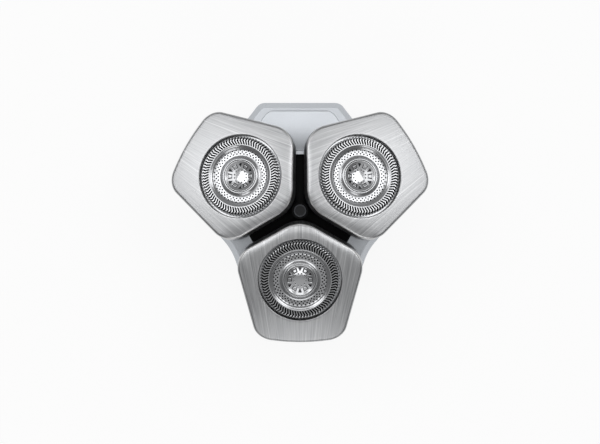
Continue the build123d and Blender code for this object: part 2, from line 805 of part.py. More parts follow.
for name, piece in pieces.items():
    piece.label = name
    export_step(piece, f"parts/{name}.step")
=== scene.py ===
import math

import bmesh
import bpy
from mathutils import Matrix, Vector


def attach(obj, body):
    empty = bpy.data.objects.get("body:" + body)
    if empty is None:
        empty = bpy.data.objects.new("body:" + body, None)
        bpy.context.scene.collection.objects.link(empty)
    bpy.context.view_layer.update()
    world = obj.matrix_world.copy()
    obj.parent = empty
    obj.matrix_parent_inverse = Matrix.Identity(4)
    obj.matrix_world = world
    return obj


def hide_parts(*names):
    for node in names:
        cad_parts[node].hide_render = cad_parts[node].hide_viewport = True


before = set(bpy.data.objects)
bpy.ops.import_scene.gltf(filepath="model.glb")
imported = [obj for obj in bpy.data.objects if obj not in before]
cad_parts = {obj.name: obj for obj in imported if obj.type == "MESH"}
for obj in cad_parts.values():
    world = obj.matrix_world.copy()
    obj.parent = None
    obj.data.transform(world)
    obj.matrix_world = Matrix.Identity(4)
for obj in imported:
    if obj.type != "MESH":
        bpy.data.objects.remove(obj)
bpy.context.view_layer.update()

# Sizes in metres, repeated from the solids where a piece has to meet them
MM = 0.001
HEAD_ANGLES = {"right": 30, "left": 150, "lower": 270}
HEAD_RADIUS = 19.5 * MM
HEAD_TILT = math.radians(13)
GUARD_TOP = 34 * MM

# The photograph's frame: straight down the middle axis
IMAGE_WIDTH = 600
PIXEL = 0.28 * MM  # size of a pixel at the guards
AXIS_ABOVE_CENTRE = 11.3 * PIXEL
CAMERA_HEIGHT = 3.0
SENSOR = 36.0


def linear(code):
    """Linear colour of an sRGB hex code."""
    parts = [int(code[i:i + 2], 16) / 255 for i in (1, 3, 5)]
    return [p / 12.92 if p <= 0.04045 else ((p + 0.055) / 1.055) ** 2.4 for p in parts] + [1.0]


def head_frame(side):
    """Matrix from a head's own frame, z out of its shaving face, to the model's frame."""
    angle = math.radians(HEAD_ANGLES[side])
    out = Vector((math.cos(angle), math.sin(angle), 0))
    up = Vector((0, 0, 1))
    x = out * math.cos(HEAD_TILT) - up * math.sin(HEAD_TILT)
    z = out * math.sin(HEAD_TILT) + up * math.cos(HEAD_TILT)
    y = z.cross(x)
    place = Matrix((x, y, z)).transposed().to_4x4()
    place.translation = out * HEAD_RADIUS + up * GUARD_TOP
    return place


def add_node(tree, kind, inputs=None, **settings):
    """Adds a node with its settings, and sets or links its inputs by name or number."""
    made = tree.nodes.new(kind)
    for key, value in settings.items():
        setattr(made, key, value)
    for key, value in (inputs or {}).items():
        if isinstance(value, bpy.types.NodeSocket):
            tree.links.new(value, made.inputs[key])
        else:
            made.inputs[key].default_value = value
    return made


def new_material(name, colour, metallic, roughness):
    """A material with one principled surface; returns it, its tree and that surface."""
    material = bpy.data.materials.new(name)
    material.use_nodes = True
    tree = material.node_tree
    skin = tree.nodes["Principled BSDF"]
    skin.inputs["Base Color"].default_value = linear(colour)
    skin.inputs["Metallic"].default_value = metallic
    skin.inputs["Roughness"].default_value = roughness
    return material, tree, skin


def dress(node, material):
    """Gives a CAD node one material all over."""
    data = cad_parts[node].data
    data.materials.clear()
    data.materials.append(material)


def head_polar(tree, side, outward=0.0):
    """Flat direction and distance in millimetres from a point that far out along a head."""
    to_head = head_frame(side).inverted()
    place = add_node(tree, "ShaderNodeTexCoord").outputs["Object"]
    centre = add_node(
        tree, "ShaderNodeVectorMath",
        {0: place, 1: head_frame(side) @ Vector((outward * MM, 0, 0))}, operation="SUBTRACT",
    ).outputs[0]
    along = [
        add_node(
            tree, "ShaderNodeVectorMath",
            {0: centre, 1: to_head[row].to_3d()}, operation="DOT_PRODUCT",
        ).outputs["Value"]
        for row in (0, 1)
    ]
    flat = add_node(tree, "ShaderNodeCombineXYZ", {0: along[0], 1: along[1]}).outputs[0]
    direction = add_node(tree, "ShaderNodeVectorMath", {0: flat}, operation="NORMALIZE").outputs[0]
    length = add_node(tree, "ShaderNodeVectorMath", {0: flat}, operation="LENGTH").outputs["Value"]
    distance = add_node(
        tree, "ShaderNodeMath", {0: length, 1: 1 / MM}, operation="MULTIPLY",
    ).outputs[0]
    return direction, distance


NOISE_LOW, NOISE_HIGH = 0.3, 0.7  # most values of a noise texture lie between these

# Brush lines on the covers, in millimetres on the head
BRUSH_MEET = 72.0  # they run together this far out from a guard's middle
BRUSH_LINES = ((0.22, 12.0), (0.6, 25.0))  # width and length: the grain, then the scratches
BRUSH_DEPTH = 0.01
SCRATCH_FROM, SCRATCH_FULL = 0.6, 0.72  # noise values at which a scratch begins and is full
GRAIN_SHARE, SCRATCH_SHARE = 0.65, 0.35  # of the way from the dark tone to the light one
# The third colour is a painted highlight, laid on each cover's edge towards the gap
BRUSHED_DARK, BRUSHED_LIGHT, EDGE_HIGHLIGHT_COLOUR = "#949597", "#cccdce", "#f2f2f2"
BRUSHED_SMOOTH, BRUSHED_ROUGH = 0.28, 0.4


def brushed_aluminium(side):
    """Anodised aluminium brushed outwards.

    Fine lines with some brighter scratches among them stretch its sheen, and the edge that the
    mesh marks carries a painted highlight.
    """
    material, tree, skin = new_material(f"brushed_aluminium_{side}", BRUSHED_LIGHT, 1.0, BRUSHED_ROUGH)
    direction, distance = head_polar(tree, side, BRUSH_MEET)
    lines = []
    for width, run in BRUSH_LINES:
        turned = add_node(
            tree, "ShaderNodeVectorMath",
            {0: direction, "Scale": BRUSH_MEET / width}, operation="SCALE",
        ).outputs[0]
        along = add_node(tree, "ShaderNodeMath", {0: distance, 1: run}, operation="DIVIDE").outputs[0]
        lift = add_node(tree, "ShaderNodeCombineXYZ", {2: along}).outputs[0]
        spot = add_node(tree, "ShaderNodeVectorMath", {0: turned, 1: lift}, operation="ADD").outputs[0]
        lines.append(add_node(
            tree, "ShaderNodeTexNoise", {"Vector": spot, "Scale": 1.0, "Detail": 2.0},
        ).outputs["Fac"])
    grain, scratches = lines
    fleck = add_node(
        tree, "ShaderNodeMapRange",
        {0: scratches, 1: SCRATCH_FROM, 2: SCRATCH_FULL, 3: 0.0, 4: SCRATCH_SHARE},
    ).outputs[0]
    fine = add_node(
        tree, "ShaderNodeMapRange", {0: grain, 1: NOISE_LOW, 2: NOISE_HIGH, 3: 0.0, 4: GRAIN_SHARE},
    ).outputs[0]
    tone = add_node(tree, "ShaderNodeMath", {0: fine, 1: fleck}, operation="ADD").outputs[0]
    colour = add_node(
        tree, "ShaderNodeMix",
        {"Factor": tone, "A": linear(BRUSHED_DARK), "B": linear(BRUSHED_LIGHT)}, data_type="RGBA",
    ).outputs["Result"]
    # Painted highlight: where the mesh marks the gap-side edge, the colour goes to near white
    painted_edge_highlight = add_node(tree, "ShaderNodeAttribute", attribute_name="painted_edge_highlight").outputs["Fac"]
    worn_and_highlit = add_node(
        tree, "ShaderNodeMix",
        {"Factor": painted_edge_highlight, "A": colour, "B": linear(EDGE_HIGHLIGHT_COLOUR)}, data_type="RGBA",
    )
    tree.links.new(worn_and_highlit.outputs["Result"], skin.inputs["Base Color"])
    rough = add_node(
        tree, "ShaderNodeMapRange",
        {0: grain, 1: NOISE_LOW, 2: NOISE_HIGH, 3: BRUSHED_SMOOTH, 4: BRUSHED_ROUGH},
    ).outputs[0]
    tree.links.new(rough, skin.inputs["Roughness"])
    bump = add_node(
        tree, "ShaderNodeBump", {"Height": tone, "Strength": 0.25, "Distance": BRUSH_DEPTH * MM},
    ).outputs["Normal"]
    tree.links.new(bump, skin.inputs["Normal"])
    return material


# Ground steel: its rings are drawn this deep in millimetres, and its roughness goes this far either way
GRIND_DEPTH = 0.01
GRIND_SMOOTHER, GRIND_ROUGHER = 0.06, 0.08


def ground_steel(name, side, colour, roughness, line):
    """Stainless steel ground on a turntable: faint rings round the head's middle, a line apart."""
    material, tree, skin = new_material(name, colour, 1.0, roughness)
    direction, distance = head_polar(tree, side)
    ring = add_node(tree, "ShaderNodeMath", {0: distance, 1: line}, operation="DIVIDE").outputs[0]
    lift = add_node(tree, "ShaderNodeCombineXYZ", {2: ring}).outputs[0]
    spot = add_node(tree, "ShaderNodeVectorMath", {0: direction, 1: lift}, operation="ADD").outputs[0]
    grain = add_node(
        tree, "ShaderNodeTexNoise", {"Vector": spot, "Scale": 1.0, "Detail": 2.0},
    ).outputs["Fac"]
    rough = add_node(
        tree, "ShaderNodeMapRange",
        {
            0: grain, 1: NOISE_LOW, 2: NOISE_HIGH,
            3: roughness - GRIND_SMOOTHER, 4: roughness + GRIND_ROUGHER,
        },
    ).outputs[0]
    tree.links.new(rough, skin.inputs["Roughness"])
    bump = add_node(
        tree, "ShaderNodeBump", {"Height": grain, "Strength": 0.15, "Distance": GRIND_DEPTH * MM},
    ).outputs["Normal"]
    tree.links.new(bump, skin.inputs["Normal"])
    return material


POLISHED, ETCHED = "#bdbec0", "#3b3c3e"


def etched_steel(side):
    """Polished stainless steel whose engraved rosette is etched dark."""
    material = ground_steel(f"polished_etched_stainless_{side}", side, POLISHED, 0.14, 0.2)
    tree = material.node_tree
    skin = tree.nodes["Principled BSDF"]
    mark = add_node(tree, "ShaderNodeAttribute", attribute_name="etched").outputs["Fac"]
    tone = add_node(
        tree, "ShaderNodeMix",
        {"Factor": mark, "A": linear(POLISHED), "B": linear(ETCHED)}, data_type="RGBA",
    )
    tree.links.new(tone.outputs["Result"], skin.inputs["Base Color"])
    return material


PATCHES = 9.0  # millimetres across a patch where a finish is a little lighter or darker


def grained_finish(name, colour, worn_and_highlit, roughness, grit, depth, metallic=0.0, shine=0.5, spread=0.07):
    """Moulded, lacquered or plated surface: a fine even grit breaks up its gloss.

    The colour shifts to a worn one in wide patches. Grit and its depth are in millimetres.
    """
    material, tree, skin = new_material(name, colour, metallic, roughness)
    skin.inputs["Specular IOR Level"].default_value = shine
    place = add_node(tree, "ShaderNodeTexCoord").outputs["Object"]
    grain = add_node(
        tree, "ShaderNodeTexNoise", {"Vector": place, "Scale": 1 / (grit * MM), "Detail": 3.0},
    ).outputs["Fac"]
    patches = add_node(
        tree, "ShaderNodeTexNoise", {"Vector": place, "Scale": 1 / (PATCHES * MM), "Detail": 2.0},
    ).outputs["Fac"]
    tone = add_node(
        tree, "ShaderNodeMix",
        {"Factor": patches, "A": linear(colour), "B": linear(worn_and_highlit)}, data_type="RGBA",
    )
    tree.links.new(tone.outputs["Result"], skin.inputs["Base Color"])
    rough = add_node(
        tree, "ShaderNodeMapRange",
        {0: grain, 1: NOISE_LOW, 2: NOISE_HIGH, 3: roughness - spread, 4: roughness + spread},
    ).outputs[0]
    tree.links.new(rough, skin.inputs["Roughness"])
    bump = add_node(
        tree, "ShaderNodeBump", {"Height": grain, "Strength": 0.3, "Distance": depth * MM},
    ).outputs["Normal"]
    tree.links.new(bump, skin.inputs["Normal"])
    return material


CAP_DARK, CAP_RUBBED = "#1d1e20", "#5c5e62"
CAP_RIM_FROM, CAP_RIM_FULL = 1.35, 1.55  # radii in millimetres between which the rim begins


def rubbed_cap(name):
    """Dark ABS cap, moulded smooth: its rim is rubbed paler, which draws a thin ring."""
    material, tree, skin = new_material(name, CAP_DARK, 0.0, 0.4)
    skin.inputs["Specular IOR Level"].default_value = 0.2
    place = add_node(tree, "ShaderNodeTexCoord").outputs["Object"]
    flat = add_node(
        tree, "ShaderNodeVectorMath", {0: place, 1: (1, 1, 0)}, operation="MULTIPLY",
    ).outputs[0]
    length = add_node(tree, "ShaderNodeVectorMath", {0: flat}, operation="LENGTH").outputs["Value"]
    rim = add_node(
        tree, "ShaderNodeMapRange",
        {0: length, 1: CAP_RIM_FROM * MM, 2: CAP_RIM_FULL * MM, 3: 0.0, 4: 1.0},
    ).outputs[0]
    tone = add_node(
        tree, "ShaderNodeMix",
        {"Factor": rim, "A": linear(CAP_DARK), "B": linear(CAP_RUBBED)}, data_type="RGBA",
    )
    tree.links.new(tone.outputs["Result"], skin.inputs["Base Color"])
    return material


# Edges that turn by more than this many degrees stay sharp
SHEET_SHARP, DISC_SHARP = 35, 40


def new_piece(name, points, faces, side, material, node, body, sharp):
    """A mesh given in a head's frame in millimetres, standing for a CAD node on that head."""
    mesh = bpy.data.meshes.new(name)
    place = head_frame(side)
    mesh.from_pydata([place @ (Vector(p) * MM) for p in points], [], faces)
    mesh.materials.append(material)
    mesh.shade_smooth()
    mesh.set_sharp_from_angle(angle=math.radians(sharp))
    piece = bpy.data.objects.new(name, mesh)
    bpy.context.scene.collection.objects.link(piece)
    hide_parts(node)
    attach(piece, body)
    return piece


# Guard sheet: rows from the flange inwards, as (radius, height) of its upper face in millimetres
SHEET = 0.35
SLOTS = 80
SLOT_WIDTH = 0.5
SLOT_FOOT, SLOT_END = 2, 11  # rows between which the slots are open
GUARD_ROWS = [
    (12.0, -3.0), (11.15, -3.0), (11.15, -1.3), (11.15, -0.75), (11.1, -0.48), (10.97, -0.24),
    (10.76, -0.07), (10.5, 0.0), (10.1, 0.0), (9.7, 0.0), (9.3, 0.0), (8.9, 0.0),
    (8.75, 0.0), (8.58, -0.04), (8.42, -0.17), (8.26, -0.28), (8.1, -0.31), (7.95, -0.42),
]
SLOT_LEAD = [(8.9, 0.0), (10.1, 3.0), (11.5, -1.5)]  # degrees a slot leads by, along its radius
HOLES = 40  # in each of three rows, which lie between these radii
HOLE_BANDS = [7.64, 7.1, 6.58, 6.08]
HOLE_RADIUS = 0.23
CHANNEL_FLOOR = (5.95, 7.45)  # inner and outer radius
CHANNEL_CURVES = (0.55, 1.6)  # how steeply the inner and the outer wall curve up
CHANNEL_DEPTH = -0.82
INNER_ROWS = [5.7, 5.5, 5.3, 5.1, 4.98]  # radii on the channel's inner wall
LIP_ROWS = [(4.85, -0.26), (4.7, -0.25), (4.55, -0.3)]  # radius and height round the middle hole
COLUMNS = 2 * SLOTS
HALF_COLUMN = 180 / COLUMNS  # in degrees


def channel_height(radius):
    """Upper face of the guard's channel: a flat floor that curves up into a wall on each side."""
    inner, outer = CHANNEL_FLOOR
    past = (max(inner - radius, 0.0), max(radius - outer, 0.0))
    return CHANNEL_DEPTH + sum(curve * reach**2 for curve, reach in zip(CHANNEL_CURVES, past))


def slot_lead(radius):
    """Angle in degrees by which a slot is ahead at a radius."""
    for (low, a), (high, b) in zip(SLOT_LEAD, SLOT_LEAD[1:]):
        if low <= radius <= high:
            return a + (b - a) * (radius - low) / (high - low)
    return 0.0


def polar(radius, degrees, height):
    """Point at a radius and an angle."""
    turn = math.radians(degrees)
    return (radius * math.cos(turn), radius * math.sin(turn), height)


def guard_sheet():
    """Upper face of a guard with its chevron slots and its three rows of holes."""
    points, faces, rows = [], [], []

    def ring(radius, height, even):
        """One row of points, two for each slot; even rows are spread evenly."""
        half = HALF_COLUMN if even else math.degrees(SLOT_WIDTH / 2 / radius)
        lead = 0.0 if even else slot_lead(radius)
        rows.append(len(points))
        for k in range(SLOTS):
            middle = 360 * k / SLOTS + lead
            points.append(polar(radius, middle - half, height))
            points.append(polar(radius, middle + half, height))

    def band(upper, lower, open_slots):
        """Faces between two rows, leaving the slots open where told."""
        for c in range(COLUMNS):
            if open_slots and c % 2 == 0:
                continue
            d = (c + 1) % COLUMNS
            faces.append((upper + c, upper + d, lower + d, lower + c))

    for index, (radius, height) in enumerate(GUARD_ROWS):
        ring(radius, height, index > SLOT_END)
        if index:
            band(rows[-2], rows[-1], SLOT_FOOT < index <= SLOT_END)

    # Each hole has a cell of four columns; the rows are staggered by half a cell
    ring(HOLE_BANDS[0], channel_height(HOLE_BANDS[0]), True)
    band(rows[-2], rows[-1], False)
    step = COLUMNS // HOLES
    for number, (high, low) in enumerate(zip(HOLE_BANDS, HOLE_BANDS[1:])):
        ring(low, channel_height(low), True)
        upper, lower = rows[-2], rows[-1]
        middle_radius = (high + low) / 2
        for hole in range(HOLES):
            first = hole * step + (step // 2) * (number % 2)
            top = [upper + (first + i) % COLUMNS for i in range(step + 1)]
            foot = [lower + (first + i) % COLUMNS for i in reversed(range(step + 1))]
            border = top + foot
            middle = 360 / COLUMNS * (first + step / 2) - HALF_COLUMN
            edge = []
            for index in border:
                x, y, _ = points[index]
                turn = math.degrees(math.atan2(y, x)) - middle
                turn = (turn + 180) % 360 - 180
                across = math.radians(turn) * middle_radius
                outward = math.hypot(x, y) - middle_radius
                shrink = HOLE_RADIUS / math.hypot(across, outward)
                radius = middle_radius + outward * shrink
                spot = middle + math.degrees(across * shrink / middle_radius)
                edge.append(len(points))
                points.append(polar(radius, spot, channel_height(radius)))
            for i in range(len(border)):
                j = (i + 1) % len(border)
                faces.append((border[i], border[j], edge[j], edge[i]))
    for radius in INNER_ROWS:
        ring(radius, channel_height(radius), True)
        band(rows[-2], rows[-1], False)
    for radius, height in LIP_ROWS:
        ring(radius, height, True)
        band(rows[-2], rows[-1], False)
    return points, faces


def make_guard(side, material):
    """A guard pressed from sheet: the slotted track, the holed channel and the middle hole."""
    points, faces = guard_sheet()
    piece = new_piece(
        f"slotted_guard_{side}", points, faces, side, material,
        f"guard_{side}", f"head_{side}", SHEET_SHARP,
    )
    sheet = piece.modifiers.new("sheet", "SOLIDIFY")
    sheet.thickness = SHEET * MM
    sheet.offset = -1.0
    graph = bpy.context.evaluated_depsgraph_get()
    pressed = bpy.data.meshes.new_from_object(piece.evaluated_get(graph))
    piece.modifiers.clear()
    piece.data = pressed
    pressed.set_sharp_from_angle(angle=math.radians(SHEET_SHARP))


# Guard disc: a dish with a plain engraved rosette, in millimetres
DISC_RADIUS = 4.5
DISC_DISH = 4.25  # radius of the dish
DISC_TOP, DISC_FOOT = -0.2, -1.25
DISC_DROP = 0.8  # depth of the dish
DISC_RIM = [  # radius and height from the dish to the foot
    (4.34, DISC_TOP), (4.44, DISC_TOP - 0.06), (DISC_RADIUS, DISC_TOP - 0.2), (DISC_RADIUS, DISC_FOOT),
]
DISC_TURNS = 320
DISC_RINGS = 72
ENGRAVED = 0.06
ENGRAVED_FLANK = 0.1
PETALS = 6
WINDOW = (2.3, 3.5)  # inner and outer radius of its frame
WINDOW_SPREAD = 0.22  # half width for each millimetre of radius
WINDOW_LINE = 0.2
DART = (2.5, 3.6)  # radius of its point and of its base
DART_SPREAD = 0.45  # half width for each millimetre from its point
DOTS = 12
DOT_RING, DOT_RADIUS = 1.72, 0.16


def soft_step(x):
    """Rises smoothly from 0 at 0 to 1 at 1."""
    x = min(max(x, 0.0), 1.0)
    return x * x * (3 - 2 * x)


def below(value, high):
    """1 under a limit and 0 over it, with the engraving's flank between."""
    return soft_step((high - value) / ENGRAVED_FLANK + 0.5)


def between(value, low, high):
    """1 between two limits and 0 outside, with the engraving's flanks."""
    return below(low, value) * below(value, high)


def rosette(radius, degrees):
    """Engraving from 0 to 1: six framed windows, six darts between them and a ring of dots."""
    petal = abs((degrees % (360 / PETALS)) - 180 / PETALS)
    across = math.radians(petal) * radius
    half = WINDOW_SPREAD * radius
    low, high = WINDOW
    window = between(radius, low, high) * below(across, half)
    pane = between(radius, low + WINDOW_LINE, high - WINDOW_LINE) * below(across, half - WINDOW_LINE)
    away = math.radians(180 / PETALS - petal) * radius
    point, base = DART
    dart = between(radius, point, base) * below(away, DART_SPREAD * (radius - point))
    bead = (degrees % (360 / DOTS)) - 180 / DOTS
    dot = below(math.hypot(math.radians(bead) * radius, radius - DOT_RING), DOT_RADIUS)
    return max(window - pane, dart, dot)


def make_disc(side, material):
    """The dished disc in the middle of a guard."""
    arc = (DISC_DISH**2 + DISC_DROP**2) / (2 * DISC_DROP)
    points, faces, etched = [(0, 0, DISC_TOP - DISC_DROP)], [], [0.0]
    for ring in range(DISC_RINGS):
        radius = DISC_DISH * (ring + 1) / DISC_RINGS
        dish = DISC_TOP - DISC_DROP + arc - math.sqrt(arc**2 - radius**2)
        for turn in range(DISC_TURNS):
            degrees = 360 * turn / DISC_TURNS
            cut = rosette(radius, degrees)
            etched.append(cut)
            points.append(polar(radius, degrees, dish - ENGRAVED * cut))
    for radius, height in DISC_RIM:
        for turn in range(DISC_TURNS):
            points.append(polar(radius, 360 * turn / DISC_TURNS, height))
    rings = (len(points) - 1) // DISC_TURNS
    for turn in range(DISC_TURNS):
        after = (turn + 1) % DISC_TURNS
        faces.append((0, 1 + turn, 1 + after))
        for ring in range(rings - 1):
            a, b = 1 + ring * DISC_TURNS, 1 + (ring + 1) * DISC_TURNS
            faces.append((a + turn, b + turn, b + after, a + after))
    last = 1 + (rings - 1) * DISC_TURNS
    faces.append(tuple(last + turn for turn in reversed(range(DISC_TURNS))))
    piece = new_piece(
        f"dished_disc_{side}", points, faces, side, material,
        f"guard_disc_{side}", f"head_{side}", DISC_SHARP,
    )
    mark = piece.data.attributes.new("etched", "FLOAT", "POINT")
    mark.data.foreach_set("value", etched + [0.0] * (len(points) - len(etched)))


# Cover: the solid's form with a keener edge, in millimetres from the guard's middle
COVER_CORNERS = [  # x, y and round
    (18.15, 11.95, 6.0), (-6.4, 18.65, 7.0), (-17.2, 0.0, 9.0), (-6.4, -18.65, 7.0),
    (18.15, -11.95, 6.0),
]
COVER_BULGE = 0.4  # of the outer side
COVER_EDGE = 0.8  # radius of the edge round the crown
COVER_LEAN = 0.7  # by which the outer side leans in at its top
COVER_FALL = 0.4  # by which the crown falls away to the gap
GAP_FACING = 0.86  # share of a direction towards the middle that the sides at the gap have
COVER_WALL, COVER_INNER_EDGE = 1.2, 1.2  # thickness, and radius inside its edge
COVER_WAIST, COVER_FOOT = -4.7, -8.2  # heights of its widest outline and of its foot
COVER_DRAFT = 0.49  # by which the skirt is drawn in at its foot
COVER_HOLE, COVER_LIP, COVER_LIP_DROP = 11.65, 0.3, 0.5
CROWN_RADIUS = 120.0
CROWN_MIDDLE = Vector((0, 0, COVER_HOLE**2 / (2 * CROWN_RADIUS) - COVER_LIP_DROP - CROWN_RADIUS))
CORNER_STEPS, FLANK_STEPS = 24, 24  # columns round the outline, then rows along a section
EDGE_STEPS, INNER_STEPS, LIP_STEPS, DOME_STEPS, CEILING_STEPS = 10, 5, 4, 14, 4


def cover_outline():
    """Points of a cover's widest outline, each with the direction that faces outwards there."""
    corners = [Vector(corner[:2]) for corner in COVER_CORNERS]
    ways = [(after - corner).normalized() for corner, after in zip(corners, corners[1:])]
    bulge = 2 * math.atan(COVER_BULGE / COVER_CORNERS[0][1])
    leaving = ways + [Vector((math.sin(bulge), math.cos(bulge)))]
    reaching = [Vector((-math.sin(bulge), math.cos(bulge)))] + ways
    arcs = []
    for corner, (_, _, radius), before, after in zip(corners, COVER_CORNERS, reaching, leaving):
        turn = before.angle(after)
        middle = corner - before * radius * math.tan(turn / 2) + Vector((-before.y, before.x)) * radius
        first = math.atan2(-before.x, before.y)
        arc = []
        for k in range(CORNER_STEPS + 1):
            angle = first + turn * k / CORNER_STEPS
            normal = Vector((math.cos(angle), math.sin(angle)))
            arc.append((middle + normal * radius, normal))
        arcs.append(arc)
    outline = []
    for arc, following in zip(arcs, arcs[1:] + arcs[:1]):
        outline += arc
        (start, normal), (end, last) = arc[-1], following[0]
        bend = normal.angle(last) / 2
        for k in range(1, FLANK_STEPS):
            share = k / FLANK_STEPS
            facing = normal.lerp(last, share).normalized()
            sag = (end - start).length * math.tan(bend) / 2 * (1 - (2 * share - 1) ** 2)
            outline.append((start.lerp(end, share) + facing * sag, facing))
    return outline


def crown(spot, under=0.0):
    """Point of the domed crown above a flat spot, or of the dome that far under it."""
    rise = math.sqrt((CROWN_RADIUS - under) ** 2 - spot.length_squared)
    return Vector((*spot, CROWN_MIDDLE.z + rise))


def rolled(middle, start, end, radius, steps):
    """Points of a rounded edge about a point, from one direction to another."""
    return [middle + start.slerp(end, k / steps) * radius for k in range(steps + 1)]


def cover_column(spot, facing):
    """Section of a cover: up its hole, over the crown and the edge, down the skirt and back inside.

    With it comes each point's share of a painted highlight, laid on the edge towards the gap.
    """
    side = facing.to_3d()
    towards_gap = soft_step(-facing.x / GAP_FACING)
    way = spot.normalized()
    middle = crown(way * (COVER_HOLE + COVER_LIP), COVER_LIP)
    lip = rolled(middle, -way.to_3d(), (middle - CROWN_MIDDLE).normalized(), COVER_LIP, LIP_STEPS)

    # The crown falls away to the gap, and the edge goes on from its slope there
    flat = spot - facing * (COVER_EDGE + COVER_LEAN * max(facing.x, 0.0) ** 2)
    fall = COVER_FALL * towards_gap
    slope = 3 * fall / (flat - lip[-1].to_2d()).length
    up = ((crown(flat) - CROWN_MIDDLE).normalized() + side * slope).normalized()
    rim = crown(flat + up.to_2d() * COVER_EDGE) - Vector((0, 0, fall))
    edge = rolled(rim - up * COVER_EDGE, up, side, COVER_EDGE, EDGE_STEPS)
    dome = []
    for k in range(1, DOME_STEPS):
        share = k / DOME_STEPS
        dome.append(crown(lip[-1].to_2d().lerp(rim.to_2d(), share)) - Vector((0, 0, fall * share**3)))
    skirt = [
        (spot - facing * inset).to_3d() + Vector((0, 0, height))
        for inset, height in (
            (0.0, COVER_WAIST), (COVER_DRAFT, COVER_FOOT),
            (COVER_DRAFT + COVER_WALL, COVER_FOOT), (COVER_WALL, COVER_WAIST),
        )
    ]
    middle = crown(spot - facing * (COVER_WALL + COVER_INNER_EDGE), COVER_WALL + COVER_INNER_EDGE)
    inner = rolled(middle, side, (middle - CROWN_MIDDLE).normalized(), COVER_INNER_EDGE, INNER_STEPS)
    ceiling = [
        crown(inner[-1].to_2d().lerp(way * COVER_HOLE, k / CEILING_STEPS), COVER_WALL)
        for k in range(1, CEILING_STEPS + 1)
    ]
    # Painted highlight across the gap-side edge, strongest at the middle of its round
    painted_edge_highlight = [towards_gap * math.sin(math.pi * k / EDGE_STEPS) for k in range(EDGE_STEPS + 1)]
    before, after = len(lip + dome), len(skirt + inner + ceiling)
    return lip + dome + edge + skirt + inner + ceiling, [0.0] * before + painted_edge_highlight + [0.0] * after


def make_cover(side, material):
    """A cover drawn from sheet, with a keen edge that carries a painted highlight towards the gap."""
    points, faces, painted_edge_highlight = [], [], []
    outline = cover_outline()
    for place in outline:
        section, highlight_share = cover_column(*place)
        points += section
        painted_edge_highlight += highlight_share
    rows = len(section)
    for column in range(len(outline)):
        a, b = column * rows, (column + 1) % len(outline) * rows
        for row in range(rows):
            after = (row + 1) % rows
            faces.append((a + row, a + after, b + after, b + row))
    piece = new_piece(
        f"edged_cover_{side}", points, faces, side, material,
        f"cover_{side}", f"head_{side}", SHEET_SHARP,
    )
    # The painted highlight's share at each point, kept on the mesh for the material
    mark = piece.data.attributes.new("painted_edge_highlight", "FLOAT", "POINT")
    mark.data.foreach_set("value", painted_edge_highlight)


# Bare panel on the frame's tab, in millimetres from the middle axis
FRAME_POINT = 27.69  # point of the frame's cone, which slopes as the heads do
PANEL_END, PANEL_FOOT = 28.2, 16.8
PANEL_HALF = 9.0  # at its end
PANEL_FLARE = 0.68  # the flanks widen by this much for each millimetre inwards
PANEL_CORNER = 1.6
PANEL_OPENING = (15.91, 9.19, 15.8)  # the right head's opening with a margin: place and radius
PANEL_RISE, PANEL_SINK = 0.06, 0.1  # of its middle over the tab, and of its underside into it
PANEL_HOLLOW = 0.4  # by which its ends stand over its middle
PANEL_EDGE = 0.3  # width of its rounded edge
PANEL_ROWS, PANEL_COLUMNS = 96, 72
PANEL_JOIN = 1e-4  # points nearer than this are one


def panel_half(y):
    """Half width of the panel at a distance from the middle axis."""
    flank = PANEL_HALF + PANEL_FLARE * (PANEL_END - y)
    past = min(max(0.0, y - (PANEL_END - PANEL_CORNER)), PANEL_CORNER)
    flank -= PANEL_CORNER - math.sqrt(PANEL_CORNER**2 - past**2)
    x, middle, radius = PANEL_OPENING
    return min(flank, x - math.sqrt(max(0.0, radius**2 - (y - middle) ** 2)))


def make_panel(material):
    """The plain panel on the tab, a little hollow along its length."""
    points, faces = [], []
    middle, reach = (PANEL_END + PANEL_FOOT) / 2, (PANEL_END - PANEL_FOOT) / 2
    for top in (True, False):
        for row in range(PANEL_ROWS + 1):
            y = middle - reach * math.cos(math.pi * row / PANEL_ROWS)
            half = panel_half(y)
            for column in range(PANEL_COLUMNS + 1):
                x = -half * math.cos(math.pi * column / PANEL_COLUMNS)
                inset = max(0.0, min(half - abs(x), PANEL_END - y, y - PANEL_FOOT))
                lift = math.sqrt(1 - (1 - min(inset / PANEL_EDGE, 1)) ** 2)
                rise = PANEL_RISE + PANEL_HOLLOW * ((y - middle) / reach) ** 2
                base = FRAME_POINT - math.hypot(x, y) * math.tan(HEAD_TILT) - PANEL_SINK
                points.append((x * MM, y * MM, (base + top * lift * (rise + PANEL_SINK)) * MM))
    side = PANEL_COLUMNS + 1
    count = (PANEL_ROWS + 1) * side
    for row in range(PANEL_ROWS):
        for column in range(PANEL_COLUMNS):
            a = row * side + column
            face = (a, a + 1, a + side + 1, a + side)
            faces.append(face)
            faces.append(tuple(count + index for index in reversed(face)))
    mesh = bpy.data.meshes.new("tab_panel")
    mesh.from_pydata(points, [], faces)
    body = bmesh.new()
    body.from_mesh(mesh)
    bmesh.ops.remove_doubles(body, verts=body.verts, dist=PANEL_JOIN * MM)  # along its edge
    body.to_mesh(mesh)
    body.free()
    mesh.materials.append(material)
    mesh.shade_smooth()
    piece = bpy.data.objects.new("tab_panel", mesh)
    bpy.context.scene.collection.objects.link(piece)
    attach(piece, "frame")


# Black ABS off a polished tool: deep, with hardly any shine
black_abs = grained_finish("black_abs_moulded", "#060607", "#0b0b0c", 0.34, 0.25, 0.01, shine=0.05)
# Charcoal ABS off a spark-eroded tool: matt and even
base_abs = grained_finish("charcoal_abs_moulded", "#26272a", "#2d2e31", 0.5, 0.35, 0.02)
# Filled nylon, moulded: grey and half dull
hub_nylon = grained_finish("grey_nylon_moulded", "#4b4e53", "#55585d", 0.45, 0.3, 0.01)
